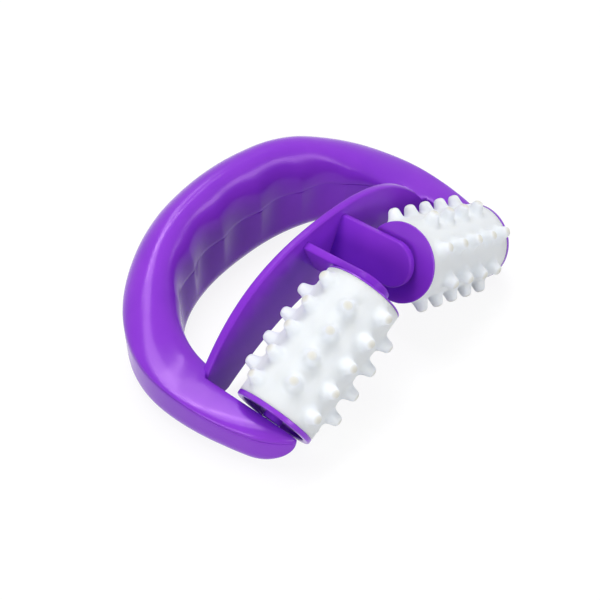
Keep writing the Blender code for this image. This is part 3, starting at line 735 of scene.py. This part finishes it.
def spigot_profile(plate_underside):
    """The underside of a cap: its flange, the spigot, the plate within it and the hub."""
    hollow = SPIGOT_RADIUS - SPIGOT_WALL
    spigot_end = FLANGE_UNDERSIDE - SPIGOT_LENGTH
    hub_end = plate_underside - HUB_LENGTH
    return [(CAP_RADIUS, FLANGE_UNDERSIDE), (SPIGOT_RADIUS, FLANGE_UNDERSIDE),
            (SPIGOT_RADIUS, spigot_end), (hollow, spigot_end), (hollow, plate_underside),
            (CAP_HUB_RADIUS, plate_underside), (CAP_HUB_RADIUS, hub_end),
            (PIN_RADIUS + CAP_PIN_ROOM, hub_end)]


def outer_cap_profile():
    """A flange with a rounded rim round a shallow cup, a hub in it and a spigot under it."""
    rim, cup, floor = OUTER_RIM_ROUND, CAP_RADIUS - CUP_RIM_WIDTH, OUTER_END - CUP_DEPTH
    hub_top = ARM_FACE - HUB_ARM_GAP
    profile = [(PIN_RADIUS + CAP_PIN_ROOM, hub_top), (CAP_HUB_RADIUS - HUB_CHAMFER, hub_top),
               (CAP_HUB_RADIUS, hub_top - HUB_CHAMFER), (CAP_HUB_RADIUS, floor), (cup, floor),
               (cup, OUTER_END - CUP_CHAMFER), (cup + CUP_CHAMFER, OUTER_END)]
    profile += arc(CAP_RADIUS - rim, OUTER_END - rim, rim, 90, 0, 5)
    return profile + spigot_profile(floor - OUTER_PLATE)


def inner_cap_profile():
    """A thin flange with a rounded rim, and a spigot under it."""
    rim = INNER_RIM_ROUND
    profile = [(PIN_RADIUS + CAP_PIN_ROOM, INNER_END), (CAP_HUB_RADIUS, INNER_END)]
    profile += arc(CAP_RADIUS - rim, INNER_END - rim, rim, 90, 0, 4)
    return profile + spigot_profile(INNER_END - INNER_PLATE)


def cap(side, role, profile, flip, finish):
    """A roller's outer or inner cap."""
    bm = turned(profile + profile[:1], ROLLER_STEPS)
    bmesh.ops.transform(bm, verts=bm.verts, matrix=roller_frame(side) @ Matrix.Rotation(flip, 4, "X"))
    piece = finished_piece(bm, f"{side}_{role}_flange", finish)
    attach(piece, side + "_roller")
    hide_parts(f"{side}_roller_{role}_cap")


violet = violet_plastic("violet_plastic", GRIP_GLOSS)
satin_violet = violet_plastic("satin_violet_plastic", CROSSBAR_GLOSS)
cap_violet = violet_plastic("cap_violet_plastic", CAP_GLOSS)
core = core_plastic("core_plastic")
grip_half("palm_half", upper_ring, "grip_upper_shell", violet)
grip_half("finger_half", lower_ring, "grip_lower_shell", violet)
crossbar(satin_violet)
for side, spin in (("left", LEFT_SPIN), ("right", RIGHT_SPIN)):
    rubber = white_rubber(side + "_white_rubber", ROLLER_CENTRES[side], ROLLER_AXES[side])
    sleeve(side, spin, rubber)
    cap(side, "outer", outer_cap_profile(), 0.0, cap_violet)
    cap(side, "inner", inner_cap_profile(), math.pi, cap_violet)
    steel = pin_steel(side + "_pin_steel", ROLLER_AXES[side])
    put_finish(frame["nodes"][side + "_roller_sleeve"], rubber)
    put_finish(frame["nodes"][side + "_roller_core"], core)
    put_finish(frame["nodes"][side + "_roller_pin"], steel)
for node in ("grip_upper_shell", "grip_lower_shell", "crossbar", "left_roller_outer_cap",
             "left_roller_inner_cap", "right_roller_outer_cap", "right_roller_inner_cap"):
    put_finish(frame["nodes"][node], violet)


# World, floor, lights and camera

WORLD_LIGHT = 0.12
FLOOR_HALF = 2.0
FLOOR_DROP = 0.0002
FLOOR_LIT_TONE = 0.62             # of the light that it sends back to the pieces
FLOOR_SEEN_TONE = 0.14            # of the shadows that the camera sees on it
FLOOR_SEEN_GLOW = 0.88

CAMERA_AZIMUTH = math.radians(-48.63)
CAMERA_ELEVATION = math.radians(45.48)
CAMERA_EYE = (-0.2338, ROLLER_LINE_Y - 0.1670, 0.3168)
CAMERA_LENS = 68.2
AIM_HEIGHT = 0.02                 # of the lamps, over the middle of the floor


def camera_sees(tree):
    """1 for what the camera sees directly, in gloss or through something clear, otherwise 0."""
    path = tree.nodes.new("ShaderNodeLightPath")
    total = path.outputs["Is Camera Ray"]
    for ray in ("Is Glossy Ray", "Is Transmission Ray"):
        larger = tree.nodes.new("ShaderNodeMath")
        larger.operation = "MAXIMUM"
        tree.links.new(total, larger.inputs[0])
        tree.links.new(path.outputs[ray], larger.inputs[1])
        total = larger.outputs[0]
    return total


def studio_world():
    """A world that gives little light and is white where the camera sees it."""
    world = bpy.data.worlds.new("studio")
    bpy.context.scene.world = world
    world.use_nodes = True
    tree = world.node_tree
    background = tree.nodes["Background"]
    background.inputs["Color"].default_value = (1, 1, 1, 1)
    tree.links.new(spread(tree, camera_sees(tree), WORLD_LIGHT, 1.0, 0.0, 1.0),
                   background.inputs["Strength"])


def paper_floor():
    """A plain floor that is near white where the camera sees it and keeps the shadow."""
    bm = bmesh.new()
    bmesh.ops.create_grid(bm, x_segments=1, y_segments=1, size=FLOOR_HALF)
    bmesh.ops.translate(bm, verts=bm.verts, vec=(0, 0, -FLOOR_DROP))
    finish, tree, shader, _ = new_finish("floor_paper")
    shader.inputs["Roughness"].default_value = 0.9
    shader.inputs["Specular IOR Level"].default_value = 0.1
    shader.inputs["Emission Color"].default_value = (1, 1, 1, 1)
    seen = camera_sees(tree)
    tree.links.new(spread(tree, seen, FLOOR_LIT_TONE, FLOOR_SEEN_TONE, 0.0, 1.0),
                   shader.inputs["Base Color"])
    tree.links.new(spread(tree, seen, 0.0, FLOOR_SEEN_GLOW, 0.0, 1.0),
                   shader.inputs["Emission Strength"])
    floor = finished_piece(bm, "floor", finish)


def softbox(name, place, width, height, power, turn=0.0):
    """A lamp of a size and power that looks at the massager, turned about the line to it."""
    light = bpy.data.lights.new(name, "AREA")
    light.shape = "RECTANGLE"
    light.size = width
    light.size_y = height
    light.energy = power
    lamp = bpy.data.objects.new(name, light)
    look = (Vector(place) - Vector((0, 0, AIM_HEIGHT))).to_track_quat("Z", "Y").to_matrix().to_4x4()
    lamp.matrix_world = Matrix.Translation(place) @ look @ Matrix.Rotation(math.radians(turn), 4, "Z")
    bpy.context.scene.collection.objects.link(lamp)


def add_camera():
    """The camera, at the azimuth and elevation from which it looks."""
    a, e = CAMERA_AZIMUTH, CAMERA_ELEVATION
    back = Vector((math.sin(a) * math.cos(e), -math.cos(a) * math.cos(e), math.sin(e)))
    right = Vector((math.cos(a), math.sin(a), 0))
    stand = Matrix((right, back.cross(right), back)).transposed().to_4x4()
    stand.translation = CAMERA_EYE
    lens = bpy.data.cameras.new("camera")
    lens.sensor_width = 36
    lens.lens = CAMERA_LENS
    lens.clip_start = 0.01
    camera = bpy.data.objects.new("camera", lens)
    camera.matrix_world = stand
    bpy.context.scene.collection.objects.link(camera)
    bpy.context.scene.camera = camera


studio_world()
paper_floor()
softbox("top_softbox", (0.08, 0.29, 1.00), 1.00, 0.34, 5.8, 48.0)
softbox("top_strip", (0.12, 0.22, 0.98), 0.92, 0.04, 2.9, 5.0)
softbox("front_softbox", (0.15, -0.95, 0.42), 1.50, 0.26, 5.3)
softbox("left_softbox", (-0.95, -0.05, 0.30), 0.50, 0.40, 3.5)
add_camera()
bpy.context.scene.view_settings.view_transform = "Standard"
